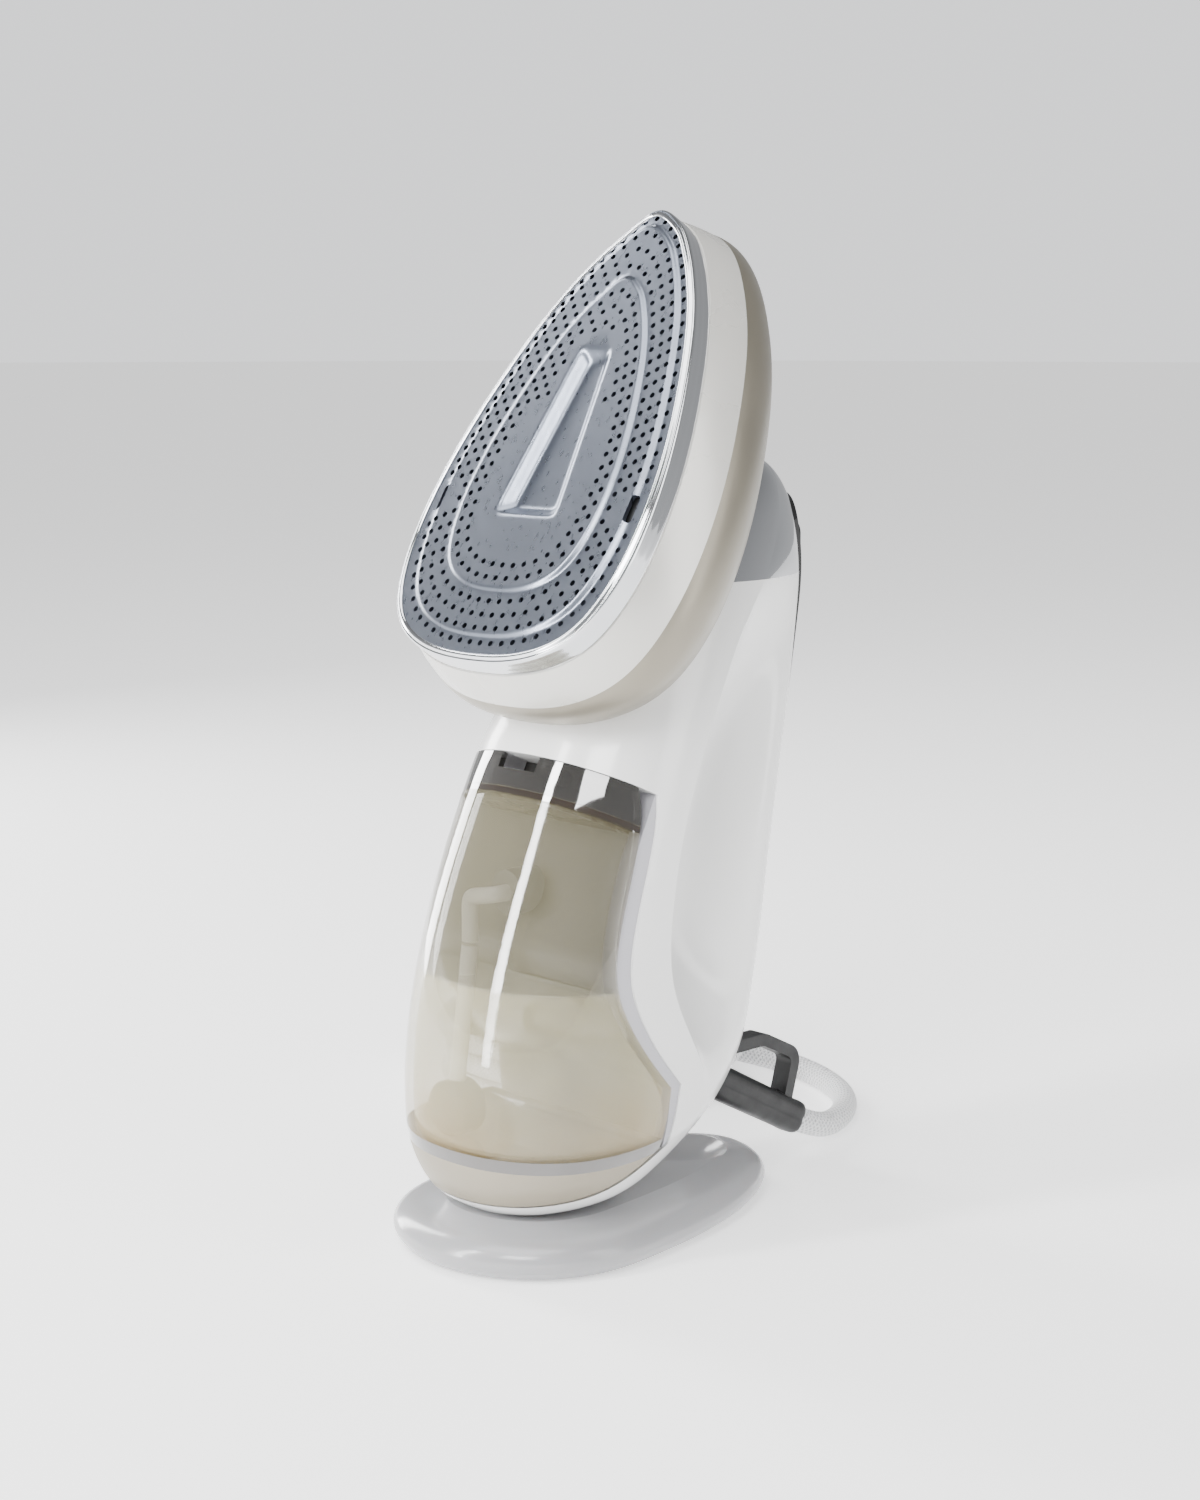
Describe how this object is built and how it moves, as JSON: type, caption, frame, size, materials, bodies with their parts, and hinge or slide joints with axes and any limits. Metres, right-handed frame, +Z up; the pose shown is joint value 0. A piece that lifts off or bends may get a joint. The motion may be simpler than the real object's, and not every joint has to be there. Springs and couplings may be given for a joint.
{
  "type": "garment steamer",
  "caption": "Handheld garment steamer with an iron-shaped perforated soleplate, see-through pull-off water tank, hollowed grip, control panel, corded base end and a resting stand.",
  "frame": {"origin": "on the floor in the middle of the stand's rubber pad, under the body", "axes": "+Z up, the soleplate and tank face -Y, the handle is on +Y, the object is symmetric about x = 0"},
  "size_m": [0.1982, 0.2058, 0.272],
  "materials": {
    "white_shell": "gloss white ABS",
    "pearl_ring": "pearl white",
    "champagne": "satin champagne lacquer",
    "sole_steel": "blue-grey brushed stainless",
    "chrome": "polished",
    "cast_aluminium": "as cast",
    "black_gloss": "piano black",
    "black_rubber": "matt",
    "grey_band": "fine satin",
    "clear_tank": "clear straw tinted polycarbonate",
    "taupe_base": "gloss taupe",
    "tank_brown": "dark straw",
    "clear_hose": "clear silicone",
    "grey_plastic": "satin",
    "dark_plastic": "satin",
    "stand_grey": "gloss light grey",
    "foot_rubber": "matt",
    "brass": "machined",
    "steel": "plain",
    "silicone_red": "silicone",
    "board_green": "solder mask",
    "lens_blue": "clear lens",
    "white_braid": "woven braid",
    "mica": "mica board"
  },
  "bodies": {
    "stand": {"stand_shell": "stand_grey", "foot_pad": "foot_rubber", "cord": "white_braid", "cord_coil": "white_braid", "cord_tie": "black_rubber", "plug": "black_rubber", "plug_pins": "brass"},
    "steamer": {"main_housing": "white_shell", "neck_collar": "chrome", "rear_grip_cover": "white_shell", "control_panel": "black_gloss", "bay_frame": "grey_band", "water_probe": "grey_plastic", "soleplate": "sole_steel", "boiler_plate": "cast_aluminium", "heating_element": "steel", "steam_dome": "cast_aluminium", "thermostat": "brass", "thermal_fuse": "steel", "boiler_screws": "steel", "sole_gasket": "silicone_red", "sole_rim": "chrome", "head_ring": "pearl_ring", "heat_shield": "mica", "head_bowl": "champagne", "neck_duct": "dark_plastic", "indicator_lens": "lens_blue", "circuit_board": "board_green", "button_switches": "dark_plastic", "pump_body": "grey_plastic", "inlet_tube": "clear_hose", "boiler_feed_tube": "clear_hose", "strain_relief": "black_rubber", "hanging_loop": "black_rubber", "cord_clamp": "dark_plastic"},
    "tank": {"tank_body": "clear_tank", "tank_base": "taupe_base", "tank_roof": "tank_brown", "tank_valve": "grey_plastic", "suction_elbow": "clear_hose"},
    "intake": {"suction_hose": "clear_hose", "intake_filter": "grey_plastic"},
    "latch": {"tank_latch": "dark_plastic"},
    "steam_key": {"steam_button": "black_gloss"},
    "power_key": {"power_button": "black_gloss"},
    "plunger": {"pump_plunger": "steel"}
  },
  "joints": [
    {"name": "stand_lift", "type": "slide", "parent": "stand", "child": "steamer", "axis": [0, 0, 1], "range_m": [0, 0.04]},
    {"name": "tank_pull", "type": "slide", "parent": "steamer", "child": "tank", "axis": [0, -1, 0], "range_m": [0, 0.06]},
    {"name": "intake_swing", "type": "hinge", "parent": "tank", "child": "intake", "pos_m": [-0.01, -0.038, 0.082], "axis": [1, 0, 0], "range_deg": [-2, 3]},
    {"name": "latch_lift", "type": "slide", "parent": "steamer", "child": "latch", "axis": [0, 0.4683, 0.8836], "range_m": [0, 0.003], "stiffness_N_per_m": 400, "springref_m": -0.001},
    {"name": "steam_press", "type": "slide", "parent": "steamer", "child": "steam_key", "axis": [0, -1, 0], "range_m": [0, 0.002], "stiffness_N_per_m": 600, "springref_m": -0.001},
    {"name": "power_press", "type": "slide", "parent": "steamer", "child": "power_key", "axis": [0, -1, 0], "range_m": [0, 0.001], "stiffness_N_per_m": 600, "springref_m": -0.001},
    {"name": "plunger_stroke", "type": "slide", "parent": "steamer", "child": "plunger", "axis": [0, 0, 1], "range_m": [0, 0.003], "stiffness_N_per_m": 300, "springref_m": -0.001}
  ]
}
